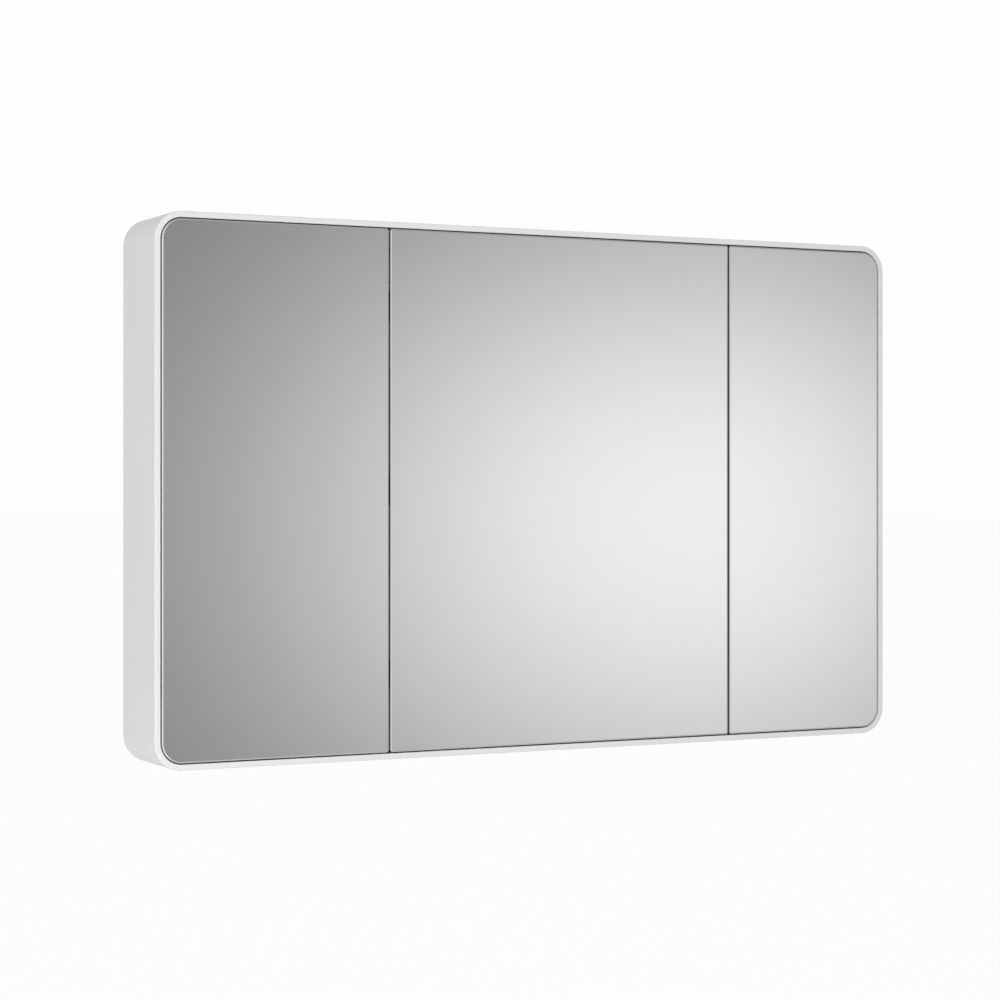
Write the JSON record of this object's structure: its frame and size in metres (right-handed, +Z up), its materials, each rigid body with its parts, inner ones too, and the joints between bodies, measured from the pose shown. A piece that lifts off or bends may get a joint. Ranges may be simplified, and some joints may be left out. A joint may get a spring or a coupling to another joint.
{
  "type": "medicine cabinet with mirror",
  "caption": "Wall-hung mirror cabinet with a rounded white surround, inset mirror doors on concealed hinges, push latches and glass shelves.",
  "frame": {"origin": "centre of the back, on the wall", "axes": "+X to the right seen from the front, +Y into the wall, +Z up; the doors face -Y"},
  "size_m": [1.2, 0.134, 0.762],
  "materials": {
    "white_coated_metal": "satin white powder coat",
    "white_panel": "satin white coated sheet",
    "white_board": "satin white laminate on a light board",
    "mirror": "silvered float glass with polished edges",
    "clear_glass": "clear toughened glass with polished edges",
    "nickel": "nickel-plated zinc casting",
    "zinc_steel": "bright zinc-plated steel",
    "spring_steel": "drawn spring steel",
    "grey_plastic": "fine-textured moulded plastic",
    "pale_plastic": "smooth moulded plastic",
    "magnet": "nickel-dark magnet face",
    "clear_rubber": "soft translucent silicone"
  },
  "bodies": {
    "cabinet": {"surround_frame": "white_coated_metal", "back_panel": "white_panel", "left_partition": "white_board", "right_partition": "white_board", "partition_brackets": "zinc_steel", "bracket_screws": "zinc_steel", "back_panel_screws": "zinc_steel", "wall_fixing_plates": "zinc_steel", "fixing_plate_rivets": "zinc_steel", "left_upper_shelf": "clear_glass", "left_lower_shelf": "clear_glass", "centre_upper_shelf": "clear_glass", "centre_lower_shelf": "clear_glass", "right_upper_shelf": "clear_glass", "right_lower_shelf": "clear_glass", "shelf_pins": "zinc_steel", "left_hinge_plates": "nickel", "centre_hinge_plates": "nickel", "right_hinge_plates": "nickel", "hinge_plate_screws": "zinc_steel", "left_hinge_arms": "nickel", "centre_hinge_arms": "nickel", "right_hinge_arms": "nickel", "hinge_arm_screws": "zinc_steel", "left_latch_housing": "grey_plastic", "centre_latch_housing": "grey_plastic", "right_latch_housing": "grey_plastic", "latch_springs": "spring_steel", "latch_screws": "zinc_steel"},
    "left_door": {"left_mirror": "mirror", "left_door_core": "white_board", "left_inner_mirror": "mirror", "left_hinge_cups": "nickel", "left_hinge_pins": "zinc_steel", "left_cup_screws": "zinc_steel", "left_strike_plate": "zinc_steel", "left_bumpers": "clear_rubber"},
    "centre_door": {"centre_mirror": "mirror", "centre_door_core": "white_board", "centre_inner_mirror": "mirror", "centre_hinge_cups": "nickel", "centre_hinge_pins": "zinc_steel", "centre_cup_screws": "zinc_steel", "centre_strike_plate": "zinc_steel", "centre_bumpers": "clear_rubber"},
    "right_door": {"right_mirror": "mirror", "right_door_core": "white_board", "right_inner_mirror": "mirror", "right_hinge_cups": "nickel", "right_hinge_pins": "zinc_steel", "right_cup_screws": "zinc_steel", "right_strike_plate": "zinc_steel", "right_bumpers": "clear_rubber"},
    "left_plunger": {"left_latch_plunger": "pale_plastic", "left_latch_magnet": "magnet"},
    "centre_plunger": {"centre_latch_plunger": "pale_plastic", "centre_latch_magnet": "magnet"},
    "right_plunger": {"right_latch_plunger": "pale_plastic", "right_latch_magnet": "magnet"}
  },
  "joints": [
    {"name": "left_door_hinge", "type": "hinge", "parent": "cabinet", "child": "left_door", "pos_m": [-0.563, -0.126, 0], "axis": [0, 0, -1], "range_deg": [0, 95]},
    {"name": "centre_door_hinge", "type": "hinge", "parent": "cabinet", "child": "centre_door", "pos_m": [-0.2234, -0.126, 0], "axis": [0, 0, -1], "range_deg": [0, 95]},
    {"name": "right_door_hinge", "type": "hinge", "parent": "cabinet", "child": "right_door", "pos_m": [0.563, -0.126, 0], "axis": [0, 0, 1], "range_deg": [0, 95]},
    {"name": "left_plunger_slide", "type": "slide", "parent": "cabinet", "child": "left_plunger", "axis": [0, -1, 0], "range_m": [0, 0.012]},
    {"name": "centre_plunger_slide", "type": "slide", "parent": "cabinet", "child": "centre_plunger", "axis": [0, -1, 0], "range_m": [0, 0.012]},
    {"name": "right_plunger_slide", "type": "slide", "parent": "cabinet", "child": "right_plunger", "axis": [0, -1, 0], "range_m": [0, 0.012]}
  ],
  "couplings": [
    {"joint": "left_plunger_slide", "follows": "left_door_hinge", "m_per_rad": 0.0072},
    {"joint": "centre_plunger_slide", "follows": "centre_door_hinge", "m_per_rad": 0.0072},
    {"joint": "right_plunger_slide", "follows": "right_door_hinge", "m_per_rad": 0.0072}
  ]
}
